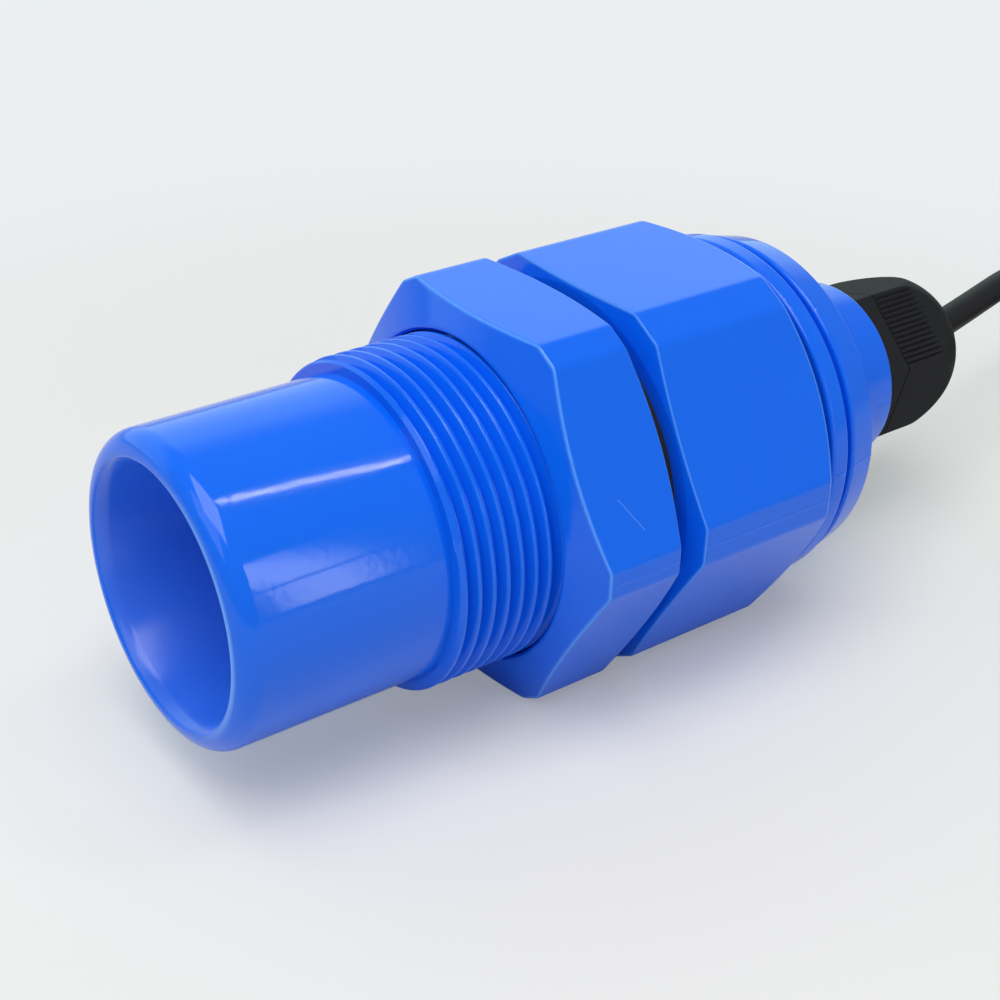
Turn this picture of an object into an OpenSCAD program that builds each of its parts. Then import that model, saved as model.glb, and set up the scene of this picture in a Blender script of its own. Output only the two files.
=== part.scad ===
// Ultrasonic level sensor: a moulded horn housing with a pipe thread, a mounting nut,
// a screwed end cap, a ribbed cable gland and a pre-wired cable.
// The sensor lies on its hex flats. Its axis runs along X, with the horn mouth towards -X.

/* [Horn] */
// Outside diameter of the horn sleeve
horn_d = 43.8; // [40:0.1:44.4]
// Length of the sleeve from the mouth to the thread
horn_len = 30.9; // [28:0.1:45]
// Radius of the rounded outer lip
lip_round = 3; // [1:0.1:3.6]
// Radius of the lip's inner edge
mouth_round = 0.5; // [0.3:0.1:0.8]
// Radius of the flare that leads from the inner edge into the funnel
flare_round = 4; // [2:0.1:6]
// Slope of the wall where the flare starts, from the axis
flare_deg = 45; // [35:1:60]
// Diameter of the funnel at the throat
throat_d = 22; // [16:0.1:22.4]
// Depth of the funnel cone
funnel_depth = 28.9; // [20:0.1:30]

/* [Thread] */
// Major diameter of the pipe thread
thread_d = 47.8; // [46:0.1:50]
// Length of the thread, up to the hex body
thread_len = 35.3; // [28:0.1:50]
// Pitch of the thread
thread_pitch = 2.309; // [1.6:0.001:2.8]
// Width of the lead-in chamfer
thread_lead = 0.6; // [0.3:0.1:2]

/* [Hex body] */
// Width across the flats of both hexes
hex_af = 56.4; // [54:0.1:62]
// Width across the truncated corners of the body
hex_corner_d = 62; // [60:0.1:65]
// Length of the hex body
hex_len = 27.7; // [24:0.1:36]
// Diameter where the front cone meets the front face
hex_front_d = 54.8; // [54.2:0.1:56]
// Slope of the front cone, from the face
hex_front_deg = 12; // [5:1:25]
// Diameter where the rear cone meets the rear face
hex_rear_d = 54.2; // [53.5:0.1:55.5]
// Slope of the rear cone, from the face
hex_rear_deg = 37; // [20:1:45]
// Wall of the horn tube
tube_wall = 2.4; // [1.6:0.1:3]
// Diameter of the bore that takes the end cap
cap_bore_d = 48; // [46:0.1:49]
// Depth of the ledge that carries the board, from the front face
ledge_depth = 5.1; // [4:0.1:7]

/* [Mounting nut] */
// Width across the truncated corners of the nut
nut_corner_d = 63; // [60:0.1:65]
// Thickness of the nut
nut_len = 16.9; // [10:0.1:20]
// Diameter of the front face, inside its cone
nut_front_d = 49.4; // [49.2:0.1:53]
// Diameter of the rear face, inside its cone
nut_rear_d = 52.8; // [52:0.1:55]
// Slope of the end cones, from the face
nut_cone_deg = 22; // [10:1:35]
// Room between the nut and the gasket, as it stands
nut_gap = 1.15; // [0.3:0.05:8]
// Radial clearance of the nut's bore over the thread
nut_clear = 0.2; // [0.1:0.05:0.4]
// Width of the countersinks of the nut's bore
nut_sink = 0.4; // [0.2:0.1:1.6]

/* [Gasket] */
// Outside diameter of the flat gasket
gasket_d = 50.4; // [49.6:0.1:54.4]
// Thickness of the flat gasket
gasket_t = 1.2; // [0.8:0.1:2.5]
// Radial clearance of the gasket over the thread
gasket_clear = 0.1; // [0.05:0.05:0.3]

/* [End cap] */
// Gap between the hex body and the cap's collar
cap_gap = 1.1; // [0.8:0.05:1.4]
// How far the collar stands out past the bore
collar_step = 3.4; // [2.8:0.1:4]
// Length of the collar
collar_len = 3.3; // [2.6:0.1:6]
// Width of the groove behind the collar
cap_groove = 1.6; // [0.8:0.1:3]
// Depth of the groove below the collar
cap_groove_depth = 2.2; // [1.6:0.1:2.6]
// Step of the cap ring's front below the collar
ring_step = 0.8; // [0.2:0.1:1.4]
// Fall of the cap ring's radius from its front to its rear
ring_taper = 0.9; // [0.3:0.1:1.4]
// Length of the cap ring
ring_len = 5.5; // [4:0.1:10]
// Diameter of the boss where it leaves the ring
boss_base_d = 33; // [31:0.1:40]
// Diameter of the boss at its end
boss_end_d = 29.4; // [28.4:0.1:30.6]
// Length of the boss
boss_len = 16.5; // [12:0.1:24]
// Wall of the skirt that goes into the body
skirt_wall = 2.6; // [1.8:0.1:3.2]
// Radial clearance of the skirt in its bore
skirt_clear = 0.15; // [0.05:0.05:0.3]
// Section of the seal ring
seal_section = 1.5; // [1.4:0.05:1.7]

/* [Transducer] */
// How far the matching layer reaches past the throat
seat_lap = 0.8; // [0.4:0.1:1.2]
// Wall of the soft sleeve round the transducer
sleeve_wall = 2; // [1.4:0.1:2.4]
// Wall of the cup round the sleeve
cup_wall = 2.5; // [1.6:0.1:2.6]
// Thickness of the matching layer
layer_t = 4; // [3:0.1:6]
// Inset of the piezo disc from the rim of the matching layer
piezo_inset = 1.8; // [1:0.1:3]
// Thickness of the piezo disc
piezo_t = 3; // [2:0.1:4]
// Thickness of the damping block
damper_t = 4.2; // [3:0.1:6]
// Thickness of the retaining ring
retainer_t = 3; // [2:0.1:4]
// Bore of the retaining ring
retainer_bore_d = 14; // [10:0.1:18]
// Radial clearance of the transducer's pieces
stack_clear = 0.1; // [0.05:0.05:0.2]
// Clearance of the temperature probe's bead on each side
probe_clear = 0.2; // [0.1:0.05:0.4]
// Length of the temperature probe's bead
probe_len = 5; // [3:0.1:8]

/* [Board] */
// Thickness of the circuit board
board_t = 1.6; // [1:0.1:2]
// Side of the pulse transformer
coil_side = 11; // [9:0.1:12]
// Height of the pulse transformer
coil_h = 9; // [6:0.1:12]
// Diameter of the storage capacitors
cap_d = 8; // [6:0.1:8.4]
// Height of the storage capacitors
cap_h = 11; // [7:0.1:14]
// Side of the processor chip
chip_side = 9; // [7:0.1:10]
// Height of the processor chip
chip_h = 1.4; // [1:0.1:2]
// Side of the lead connector
plug_side = 10; // [9:0.1:12]
// Height of the lead connector
plug_h = 9; // [7:0.1:12]

/* [Cable gland] */
// Width across the flats of the gland body's flange and of the dome nut
gland_af = 23.4; // [22.6:0.1:24]
// Diameter of the turned shape that rounds off the dome nut's corners
dome_d = 27.8; // [27.2:0.1:28.4]
// Thickness of the gland's flat washer
gland_washer_t = 0.8; // [0.5:0.1:1.5]
// Thickness of the gland body's hex flange
flange_t = 4.4; // [3:0.1:6]
// Length of the dome nut
dome_len = 17.6; // [16.5:0.1:20]
// Place where the dome nut starts to round off, from its skirt
dome_start = 2; // [0.5:0.1:5]
// Length of the dome nut's ribs
rib_len = 9.4; // [6:0.1:10]
// Depth of the grooves between the ribs
rib_depth = 0.4; // [0.3:0.05:0.6]
// Diameter of the thread that goes into the cap
stub_d = 18.6; // [16:0.1:19]
// Length of the thread that goes into the cap
stub_len = 9; // [7:0.1:11]
// Diameter of the thread that the dome nut turns on
sleeve_d = 19.2; // [18.4:0.1:19.6]
// Clearance of threads and bores in the gland
gland_clear = 0.1; // [0.05:0.05:0.2]

/* [Cable] */
// Diameter of the cable
cable_d = 5; // [4.5:0.1:5.4]
// Diameter of the insulated cores
core_d = 1.3; // [1:0.1:1.5]
// Radius of the coil at the middle of its turns
coil_mid_r = 29.9; // [28.5:0.1:32]
// Thickness of the coil's ties
tie_t = 1; // [0.8:0.1:1.6]
// Width of the coil's ties
tie_w = 4; // [2.5:0.1:6]

/* [Hidden] */
$fn = 96;

// Small reach of a cutting shape past the face that it cuts
past = 1;
// Seam between the gland body's flange and the dome nut
gland_seam = 0.2;
// Edge rounding on the moulded rings and the number of its segments
edge_round = 0.6;
edge_steps = 4;
lip_steps = 10;

// Stations along the axis, from the mouth
thread_at = horn_len;
hex_at = thread_at + thread_len;
hex_end = hex_at + hex_len;
nut_at = hex_at - gasket_t - nut_gap - nut_len;
collar_at = hex_end + cap_gap;
groove_at = collar_at + collar_len;
ring_at = groove_at + cap_groove;
ring_end = ring_at + ring_len;
boss_end = ring_end + boss_len;
flange_at = boss_end + gland_washer_t;
dome_at = flange_at + flange_t + gland_seam;
dome_end = dome_at + dome_len;
axis_h = hex_af / 2;

// Pipe thread: depth for each unit of pitch, half the flanks' angle and the crests' share of the flats
thread_form = 0.64;
flank_deg = 27.5;
crest_share = 0.65;
thread_depth = thread_form * thread_pitch;
flank_run = thread_depth * tan(flank_deg);
crest_flat = crest_share * (thread_pitch - 2 * flank_run);
crest_r = thread_d / 2;
root_r = crest_r - thread_depth;
first_edge = thread_at + thread_lead + crest_flat / 2;
thread_turns = floor((hex_at - gasket_t - first_edge) / thread_pitch);

// Transducer stations, from the seat behind the throat
seat_at = horn_len;
layer_at = seat_at;
piezo_at = layer_at + layer_t;
damper_at = piezo_at + piezo_t;
retainer_at = damper_at + damper_t;
cup_end = retainer_at + retainer_t;
layer_d = throat_d + 2 * seat_lap;
piezo_d = layer_d - 2 * piezo_inset;
pocket_d = layer_d + 2 * sleeve_wall + 4 * stack_clear;
cup_r = pocket_d / 2 + cup_wall;
bay_r = horn_d / 2 - tube_wall;
probe_d = bay_r - cup_r - 2 * probe_clear;
lead_r = 0.6;
lead_spread = 3;

// Centre of the flare's arc, and slope of the funnel that leaves it towards the throat
lip_crest_r = horn_d / 2 - lip_round;
flare_turn = flare_deg - 180;
flare_r = lip_crest_r + (mouth_round - flare_round) * cos(flare_turn);
flare_z = mouth_round + (mouth_round - flare_round) * sin(flare_turn);
flare_fall = flare_r - throat_d / 2;
flare_run = funnel_depth - flare_z;
funnel_deg = atan2(flare_fall, flare_run) - asin(flare_round / norm([flare_fall, flare_run]));

// The space between the horn tube and the funnel starts where the funnel's wall is full
funnel_wall = 2.3;
space_at = funnel_depth - (cup_r - funnel_wall - throat_d / 2) / tan(funnel_deg);

// Board and cap stations
board_at = hex_at + ledge_depth;
board_back = board_at + board_t;
skirt_r = cap_bore_d / 2 - skirt_clear;
skirt_inner_r = skirt_r - skirt_wall;
board_clear = 0.2;
chip_offset = 11;
cap_spacing = 1;
plug_bore_clear = 0.1;
plug_pitch = 2.5;
plug_hole_depth = 4;
cap_shoulder = 5;
gland_hole_r = stub_d / 2 + gland_clear;
cap_throat_r = 12.5;
collar_d = cap_bore_d + 2 * collar_step;
cap_groove_d = collar_d - 2 * cap_groove_depth;
ring_front_d = collar_d - 2 * ring_step;
ring_rear_d = ring_front_d - 2 * ring_taper;
seal_wall = 0.32;
seal_clear = 0.03;
seal_r = skirt_r + seal_wall + seal_clear + seal_section / 2;
seal_seat = seal_section + 2 * seal_clear - cap_gap;

// Gland
gland_bore_r = 6;
sleeve_len = 8;
finger_len = 4.2;
finger_step = 1.2;
finger_tip_r = 6.8;
finger_count = 8;
finger_slot = 0.8;
bush_len = 11;
dome_hole_r = 4.2;
dome_tip_r = 5.4;
dome_cone_len = 7.5;
gland_turn = 223.2;
rib_count = 14;
rib_margin = 0.7;
rib_pitch = gland_af * tan(30) / (rib_count + rib_margin);
rib_gap = 0.45;
dome_steps = 8;
jacket_end = ring_end + 2;

// Cable route in the part's own frame, millimetres; the first point is the gland's mouth
exit_x = dome_end / 2;
route = [[78, 1.2, 28.2], [84, 2.7, 28.2], [90, 4.2, 28.2], [97, 6, 28.2], [104, 7.9, 28], [112, 10.3, 26.8],
    [121, 13.2, 23.2], [131, 16.5, 17], [141, 19.6, 10.4], [149, 21.5, 6], [154, 22.2, 4.2], [158, 22.5, 3.5]];
route_points = concat([[exit_x, 0, axis_h]], route);
cable_sides = 10;
route_steps = 3;

// Straight run of cable that joins the outermost turn
lead_in = 20;
tail_r = coil_mid_r + cable_d;
// Coil: turns side by side and on each other, a cable's diameter apart
coil_x = route[len(route) - 1][0] + lead_in;
coil_y = route[len(route) - 1][1] - tail_r;
coil_lift = tie_t;
coil_cols = 3;
coil_rows = 4;
coil_in = coil_mid_r - coil_cols * cable_d / 2;
coil_out = coil_mid_r + coil_cols * cable_d / 2;
tail_deg = 55;
core_deg = 60;
ferrule_deg = 14;
ferrule_d = 1.7;
wire_start_deg = 90 - tail_deg;

housing_blue = "#1f62e6";
rubber_black = "#26272b";
nylon_black = "#2d2e32";

// Lays a piece that was made along Z on its side, with the mouth towards -X
module lay() {
    translate([-dome_end / 2, 0, axis_h]) rotate([0, 90, 0]) children();
}

// Points of a quarter arc from angle a0 to a1 about [r, z]
function arc_points(r, z, round_r, a0, a1, steps) =
    [for (i = [0 : steps]) let (a = a0 + (a1 - a0) * i / steps) [r + round_r * cos(a), z + round_r * sin(a)]];

// Hexagon with truncated corners, two flats facing up and down when it lies
module cut_hex(af, corner) {
    intersection() {
        rotate(30) circle(r = af / 2 / cos(30), $fn = 6);
        circle(r = corner / 2 / cos(30), $fn = 6);
    }
}

// Turned envelope with a cone at each end, as wide as the corners
module turned_ends(len, front_d, front_deg, rear_d, rear_deg, wide_d) {
    wide_r = wide_d / 2 + past;
    front_depth = (wide_r - front_d / 2) * tan(front_deg);
    rear_depth = (wide_r - rear_d / 2) * tan(rear_deg);
    rotate_extrude() polygon([[0, 0], [front_d / 2, 0], [wide_r, front_depth],
        [wide_r, len - rear_depth], [rear_d / 2, len], [0, len]]);
}

module ring(outer_r, inner_r, len) {
    difference() {
        cylinder(r = outer_r, h = len);
        translate([0, 0, -past]) cylinder(r = inner_r, h = len + 2 * past);
    }
}

// Groove behind a turn of the thread, from its crest's edge to the next crest
function groove_points(turn) =
    let (edge = first_edge + turn * thread_pitch, next = edge + thread_pitch - crest_flat)
    [[crest_r, edge], [root_r, edge + flank_run], [root_r, next - flank_run], [crest_r, next]];

// One moulding: horn, neck with the thread's turns as rings, and hex body
module housing() {
    horn_r = horn_d / 2;
    color(housing_blue) lay() difference() {
        union() {
            rotate_extrude() polygon(concat([[0, 0]],
                arc_points(horn_r - lip_round, lip_round, lip_round, -90, 0, lip_steps),
                [[horn_r, thread_at], [crest_r - thread_lead, thread_at], [crest_r, thread_at + thread_lead]],
                [for (turn = [0 : thread_turns - 1]) each groove_points(turn)],
                [[crest_r, hex_at + past], [0, hex_at + past]]));
            translate([0, 0, hex_at]) intersection() {
                linear_extrude(hex_len) cut_hex(hex_af, hex_corner_d);
                turned_ends(hex_len, hex_front_d, hex_front_deg, hex_rear_d, hex_rear_deg, hex_corner_d);
            }
        }
        funnel();
        inner_space();
    }
}

// Inside of the horn: a small round at the crest of the lip, a flare and a cone down to the throat
module funnel() {
    edge = arc_points(lip_crest_r, mouth_round, mouth_round, -90, flare_turn, edge_steps);
    rotate_extrude() polygon(concat([[0, -past], [lip_crest_r, -past]],
        [for (i = [0 : edge_steps - 1]) edge[i]],
        arc_points(flare_r, flare_z, flare_round, flare_turn, funnel_deg - 180, lip_steps),
        [[throat_d / 2, funnel_depth], [throat_d / 2, seat_at + past], [0, seat_at + past]]));
}

// Transducer pocket, space round the cup, electronics bay and the cap's bore
module inner_space() {
    rotate_extrude() polygon([[0, seat_at], [pocket_d / 2, seat_at], [pocket_d / 2, cup_end],
        [cup_r, cup_end], [cup_r, space_at], [bay_r, space_at], [bay_r, board_at],
        [cap_bore_d / 2, board_at], [cap_bore_d / 2, hex_end + past], [0, hex_end + past]]);
}

module mounting_nut() {
    bore_r = crest_r + nut_clear;
    color(housing_blue) lay() translate([0, 0, nut_at]) difference() {
        intersection() {
            linear_extrude(nut_len) cut_hex(hex_af, nut_corner_d);
            turned_ends(nut_len, nut_front_d, nut_cone_deg, nut_rear_d, nut_cone_deg, nut_corner_d);
        }
        rotate_extrude() polygon([[0, -past], [bore_r + nut_sink + past, -past], [bore_r, nut_sink],
            [bore_r, nut_len - nut_sink], [bore_r + nut_sink + past, nut_len + past], [0, nut_len + past]]);
    }
}

module flange_gasket() {
    color(rubber_black) lay() translate([0, 0, hex_at - gasket_t])
        ring(gasket_d / 2, crest_r + gasket_clear, gasket_t);
}

// Skirt, collar, groove, ring and boss in one moulding
module end_cap() {
    collar_r = collar_d / 2;
    ring_r0 = ring_front_d / 2;
    ring_r1 = ring_rear_d / 2;
    boss_r0 = boss_base_d / 2;
    boss_r1 = boss_end_d / 2;
    seal_r0 = seal_r - seal_section / 2 - seal_clear;
    seal_r1 = seal_r + seal_section / 2 + seal_clear;
    outline = concat(
        [[skirt_inner_r, board_back], [skirt_r, board_back], [skirt_r, collar_at],
         [seal_r0, collar_at], [seal_r0, collar_at + seal_seat],
         [seal_r1, collar_at + seal_seat], [seal_r1, collar_at]],
        arc_points(collar_r - edge_round, collar_at + edge_round, edge_round, -90, 0, edge_steps),
        arc_points(collar_r - edge_round, groove_at - edge_round, edge_round, 0, 90, edge_steps),
        [[cap_groove_d / 2, groove_at], [cap_groove_d / 2, ring_at]],
        arc_points(ring_r0 - edge_round, ring_at + edge_round, edge_round, -90, 0, edge_steps),
        arc_points(ring_r1 - edge_round, ring_end - edge_round, edge_round, 0, 90, edge_steps),
        [[boss_r0, ring_end]],
        arc_points(boss_r1 - edge_round, boss_end - edge_round, edge_round, 0, 90, edge_steps),
        [[gland_hole_r, boss_end], [gland_hole_r, boss_end - stub_len - past],
         [cap_throat_r, boss_end - stub_len - past], [cap_throat_r, ring_end],
         [skirt_inner_r, ring_end - cap_shoulder]]);
    color(housing_blue) lay() rotate_extrude() polygon(outline);
}

module cap_seal_ring() {
    color(rubber_black) lay() translate([0, 0, hex_end + seal_clear + seal_section / 2])
        rotate_extrude() translate([seal_r, 0]) circle(d = seal_section, $fn = 32);
}

module matching_layer() {
    color("#cfc9b8") lay() translate([0, 0, layer_at]) cylinder(d = layer_d, h = layer_t);
}

module piezo_disc() {
    color("#b9b3a4") lay() translate([0, 0, piezo_at]) cylinder(d = piezo_d, h = piezo_t);
}

// Soft ring that keeps the transducer's ringing out of the housing
module damping_sleeve() {
    color(rubber_black) lay() translate([0, 0, seat_at])
        ring(pocket_d / 2 - stack_clear, layer_d / 2 + stack_clear, retainer_at - seat_at);
}

module damping_block() {
    color("#8a7f6a") lay() translate([0, 0, damper_at]) cylinder(d = layer_d, h = damper_t);
}

module retaining_ring() {
    color("#d7d9dc") lay() translate([0, 0, retainer_at])
        ring(pocket_d / 2 - stack_clear, retainer_bore_d / 2, retainer_t);
}

module piezo_leads() {
    color("#b8322c") lay() for (side = [-1, 1])
        translate([0, side * lead_spread, retainer_at]) cylinder(r = lead_r, h = board_at - retainer_at);
}

// Bead at the front of the space round the cup, with its two leads to the board
module temperature_probe() {
    bead_at = (cup_r + bay_r) / 2;
    wire_d = 0.6;
    color("#30343a") lay() translate([0, bead_at, space_at]) {
        cylinder(d = probe_d, h = probe_len);
        for (side = [-1, 1])
            translate([side * wire_d, 0, probe_len])
                cylinder(d = wire_d, h = board_at - space_at - probe_len);
    }
}

module main_board() {
    color("#1d6b3c") lay() translate([0, 0, board_at])
        cylinder(r = cap_bore_d / 2 - board_clear, h = board_t);
}

// Bobbin with its ferrite core, on the side of the board that faces the transducer
module pulse_transformer() {
    core_share = 0.6;
    lip = 1;
    color("#c98a2b") lay() translate([chip_offset, 0, board_at - coil_h]) {
        translate([-coil_side / 2, -coil_side / 2, 0]) cube([coil_side, coil_side, lip]);
        translate([0, 0, lip]) cylinder(d = coil_side * core_share, h = coil_h - 2 * lip);
        translate([-coil_side / 2, -coil_side / 2, coil_h - lip]) cube([coil_side, coil_side, lip]);
    }
}

module storage_capacitors() {
    color("#3a3f55") lay() for (side = [-1, 1])
        translate([-chip_offset, side * (cap_d / 2 + cap_spacing), board_at - cap_h])
            cylinder(d = cap_d, h = cap_h);
}

module processor_chip() {
    color("#202226") lay() translate([chip_offset - chip_side / 2, -chip_side / 2, board_back])
        cube([chip_side, chip_side, chip_h]);
}

// Socket that takes the four cores of the cable
module lead_connector() {
    hole_r = core_d / 2 + plug_bore_clear;
    color("#2f7d4a") lay() translate([0, 0, board_back]) difference() {
        translate([-plug_side / 2, -plug_side / 2, 0]) cube([plug_side, plug_side, plug_h]);
        for (x = [-1, 1], y = [-1, 1])
            translate([x, y, 0] * plug_pitch / 2)
                translate([0, 0, plug_h - plug_hole_depth]) cylinder(r = hole_r, h = plug_hole_depth + past);
    }
}

module cable_cores() {
    cores_at = board_back + plug_h - plug_hole_depth;
    color("#d8b72c") lay() for (x = [-1, 1], y = [-1, 1])
        translate([x * plug_pitch / 2, y * plug_pitch / 2, cores_at])
            cylinder(d = core_d, h = jacket_end - cores_at);
}

module gland_washer() {
    color(rubber_black) lay() translate([0, 0, boss_end])
        ring(gland_af / 2, gland_hole_r, gland_washer_t);
}

// Threaded stub, hex flange, threaded sleeve and clamping fingers
module gland_body() {
    sleeve_at = flange_at + flange_t;
    finger_at = sleeve_at + sleeve_len;
    finger_base_r = sleeve_d / 2 - finger_step;
    color(nylon_black) lay() difference() {
        union() {
            translate([0, 0, boss_end - stub_len]) cylinder(d = stub_d, h = stub_len + gland_washer_t + past);
            translate([0, 0, flange_at]) rotate(gland_turn) linear_extrude(flange_t) gland_hex();
            translate([0, 0, sleeve_at]) cylinder(d = sleeve_d, h = sleeve_len);
            translate([0, 0, finger_at]) cylinder(r1 = finger_base_r, r2 = finger_tip_r, h = finger_len);
        }
        translate([0, 0, boss_end - stub_len - past])
            cylinder(r = gland_bore_r, h = finger_at + finger_len - boss_end + stub_len + 2 * past);
        for (i = [0 : finger_count / 2 - 1])
            rotate(i * 360 / finger_count) translate([-sleeve_d, -finger_slot / 2, finger_at])
                cube([2 * sleeve_d, finger_slot, finger_len + past]);
    }
}

module gland_bush() {
    color("#3b3d42") lay() translate([0, 0, flange_at + flange_t + sleeve_len + finger_len - bush_len])
        ring(gland_bore_r - gland_clear, cable_d / 2 + gland_clear / 2, bush_len);
}

// Hexagon of the gland's flange and of its dome nut
module gland_hex() {
    rotate(30) circle(r = gland_af / 2 / cos(30), $fn = 6);
}

// Dome nut: a hex that is rounded to the cable, with grooves on every second face
module gland_nut() {
    dome_r = dome_d / 2;
    dome_fall = dome_r - dome_tip_r;
    dome_reach = dome_len - dome_start;
    groove_x = gland_af / 2 - rib_depth;
    groove_y = (rib_count - 1) / 2 * rib_pitch + rib_gap / 2;
    thread_r = sleeve_d / 2 + gland_clear;
    thread_end = sleeve_len + 2 * gland_seam;
    color(nylon_black) lay() translate([0, 0, dome_at]) difference() {
        intersection() {
            rotate(gland_turn) linear_extrude(dome_len) gland_hex();
            rotate_extrude() polygon(concat([[0, 0], [dome_r, 0], [dome_r, dome_start]],
                [for (i = [1 : dome_steps]) let (a = i * 90 / dome_steps)
                    [dome_tip_r + dome_fall * cos(a), dome_start + dome_reach * sin(a)]],
                [[0, dome_len]]));
        }
        rotate_extrude() polygon([[0, -past], [thread_r, -past], [thread_r, thread_end],
            [dome_hole_r, thread_end + dome_cone_len], [dome_hole_r, dome_len + past], [0, dome_len + past]]);
        for (i = [0 : 2], k = [0 : rib_count - 1])
            rotate(gland_turn + i * 120)
                translate([groove_x, k * rib_pitch - groove_y, -past])
                    cube([rib_depth + past, rib_gap, rib_len + past]);
    }
}

module cable_entry() {
    color(nylon_black) lay() translate([0, 0, jacket_end]) cylinder(d = cable_d, h = dome_end - jacket_end);
}

// Smooth route: a curve through the chosen points
function curve_point(a, b, c, d, t) =
    0.5 * (2 * b + (c - a) * t + (2 * a - 5 * b + 4 * c - d) * t * t + (3 * b - a - 3 * c + d) * t * t * t);
function at_point(i) = route_points[max(0, min(len(route_points) - 1, i))];
route_curve = concat(
    [for (i = [0 : len(route_points) - 2], k = [0 : route_steps - 1])
        curve_point(at_point(i - 1), at_point(i), at_point(i + 1), at_point(i + 2), k / route_steps)],
    [at_point(len(route_points) - 1)]);
function unit(v) = v / norm(v);
function heading(i) = unit(route_curve[min(len(route_curve) - 1, i + 1)] - route_curve[max(0, i - 1)]);
function ends_level(i) = i == 0 || i == len(route_curve) - 1;
function ring_points(i) =
    let (ahead = ends_level(i) ? [1, 0, 0] : heading(i))
    let (side = unit(cross([0, 0, 1], ahead)), up = cross(ahead, side))
    [for (k = [0 : cable_sides - 1]) let (a = 360 * k / cable_sides)
        route_curve[i] + cable_d / 2 * (cos(a) * side + sin(a) * up)];

module cable() {
    last = len(route_curve) - 1;
    skin = [for (i = [0 : last]) each ring_points(i)];
    sides = [for (i = [0 : last - 1], k = [0 : cable_sides - 1]) let (n = (k + 1) % cable_sides)
        [i * cable_sides + k, (i + 1) * cable_sides + k, (i + 1) * cable_sides + n, i * cable_sides + n]];
    start = [for (k = [0 : cable_sides - 1]) k];
    end = [for (k = [cable_sides - 1 : -1 : 0]) last * cable_sides + k];
    color(nylon_black) polyhedron(skin, concat([start], sides, [end]), convexity = 4);
}

// Outer shape of the wound turns; the top outer place holds the tail
module cable_coil() {
    height = coil_rows * cable_d;
    step_r = coil_out - cable_d;
    color(nylon_black) translate([coil_x, coil_y, coil_lift]) {
        rotate_extrude() polygon([[coil_in, 0], [coil_out, 0], [coil_out, height - cable_d],
            [step_r, height - cable_d], [step_r, height], [coil_in, height]]);
        translate([-lead_in, tail_r, cable_d / 2]) rotate([0, 90, 0])
            cylinder(d = cable_d, h = lead_in, $fn = 32);
        translate([0, 0, height - cable_d / 2]) rotate(wire_start_deg) rotate_extrude(angle = tail_deg)
            translate([tail_r, 0]) circle(d = cable_d, $fn = 32);
    }
}

// Straps round the turns, with their small heads on top
module coil_ties() {
    width = coil_out - coil_in;
    height = coil_rows * cable_d;
    room = 0.1;
    head = [5, 5, 3];
    color("#e8e8e4") translate([coil_x, coil_y, coil_lift]) for (turn = [130, 310])
        rotate(turn) translate([coil_in, -tie_w / 2, 0]) {
            difference() {
                translate([-tie_t - room, 0, -tie_t])
                    cube([width + 2 * (tie_t + room), tie_w, height + 2 * tie_t + room]);
                translate([-room, -past, 0]) cube([width + 2 * room, tie_w + 2 * past, height + room]);
            }
            translate([width / 2 - head[0] / 2, (tie_w - head[1]) / 2, height + tie_t + room]) cube(head);
        }
}

// Stripped end of the cable: four cores with crimped ferrules, lying on the coil
module wire_ends() {
    spread = 1.0;
    color("#c8452f") translate([coil_x, coil_y, coil_lift + coil_rows * cable_d - cable_d / 2])
        for (r = [-1, 1], z = [-1, 1]) {
            rotate(wire_start_deg - core_deg) rotate_extrude(angle = core_deg)
                translate([tail_r + r * spread, z * spread]) circle(d = core_d, $fn = 24);
            rotate(wire_start_deg - core_deg) rotate_extrude(angle = ferrule_deg)
                translate([tail_r + r * spread, z * spread]) circle(d = ferrule_d, $fn = 24);
        }
}

housing();
mounting_nut();
flange_gasket();
end_cap();
cap_seal_ring();
matching_layer();
piezo_disc();
damping_sleeve();
damping_block();
retaining_ring();
piezo_leads();
temperature_probe();
main_board();
pulse_transformer();
storage_capacitors();
processor_chip();
lead_connector();
cable_cores();
gland_washer();
gland_body();
gland_bush();
gland_nut();
cable_entry();
cable();
cable_coil();
coil_ties();
wire_ends();
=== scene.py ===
"""Looks of the ultrasonic level sensor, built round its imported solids."""
import math

import bmesh
import bpy
from mathutils import Matrix, Vector


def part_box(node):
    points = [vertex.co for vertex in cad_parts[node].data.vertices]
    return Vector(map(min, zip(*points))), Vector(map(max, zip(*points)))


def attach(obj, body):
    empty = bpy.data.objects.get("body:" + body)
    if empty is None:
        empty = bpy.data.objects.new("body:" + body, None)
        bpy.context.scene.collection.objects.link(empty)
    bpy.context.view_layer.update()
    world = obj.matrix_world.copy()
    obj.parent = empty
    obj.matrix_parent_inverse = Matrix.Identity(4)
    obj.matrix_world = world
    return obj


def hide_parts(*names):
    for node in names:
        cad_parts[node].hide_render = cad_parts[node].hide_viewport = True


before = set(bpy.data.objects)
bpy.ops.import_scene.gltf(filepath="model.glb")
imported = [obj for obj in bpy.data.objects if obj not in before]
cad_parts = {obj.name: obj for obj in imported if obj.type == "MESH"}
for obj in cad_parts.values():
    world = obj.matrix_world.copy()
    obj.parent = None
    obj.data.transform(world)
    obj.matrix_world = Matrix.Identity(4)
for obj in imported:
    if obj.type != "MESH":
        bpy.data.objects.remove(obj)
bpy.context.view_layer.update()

MM = 0.001


# Places along the sensor's axis, in millimetres from the horn's mouth

MOUTH_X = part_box("housing")[0].x
AXIS_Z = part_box("housing")[1].z / 2


def span(node):
    """Start and end of a node along the axis, in millimetres from the mouth."""
    low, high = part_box(node)
    return (low.x - MOUTH_X) / MM, (high.x - MOUTH_X) / MM


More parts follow.
